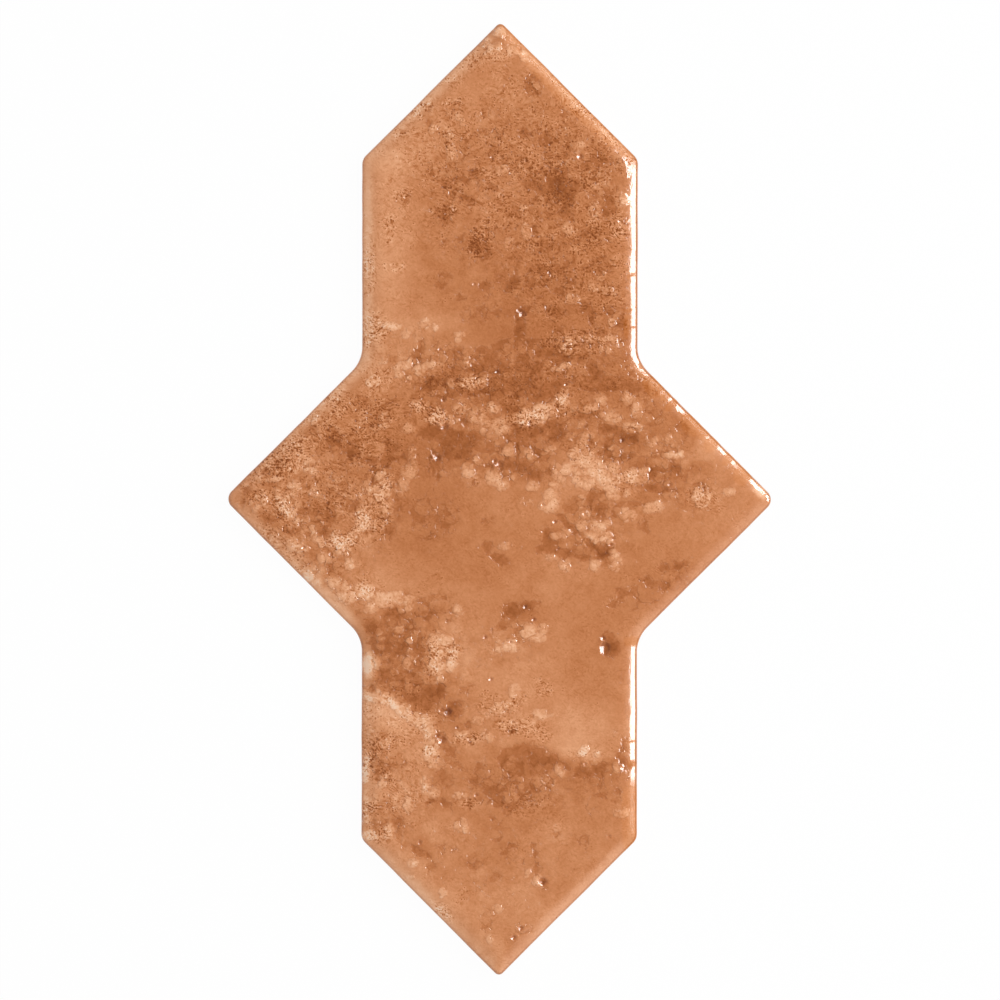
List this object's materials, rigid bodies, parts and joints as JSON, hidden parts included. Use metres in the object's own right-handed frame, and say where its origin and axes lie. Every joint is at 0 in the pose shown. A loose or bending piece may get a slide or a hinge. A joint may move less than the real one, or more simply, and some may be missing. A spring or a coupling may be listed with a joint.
{
  "type": "porcelain tile",
  "caption": "Glazed porcelain cross tile with pointed ends and square wings, a cushioned face, upright joint faces and a keyed back.",
  "frame": {"origin": "middle of the outline, in the plane of the back that the tile lies and is bedded on", "axes": "+Z out of the glazed face, +Y along the tile from tip to tip, +X across the wings"},
  "size_m": [0.136, 0.238, 0.009],
  "materials": {
    "glazed_porcelain": "glossy mottled terracotta glaze over the face and joint faces, bare fired body on the back"
  },
  "bodies": {
    "root": {"cross_tile": "glazed_porcelain"}
  },
  "joints": []
}
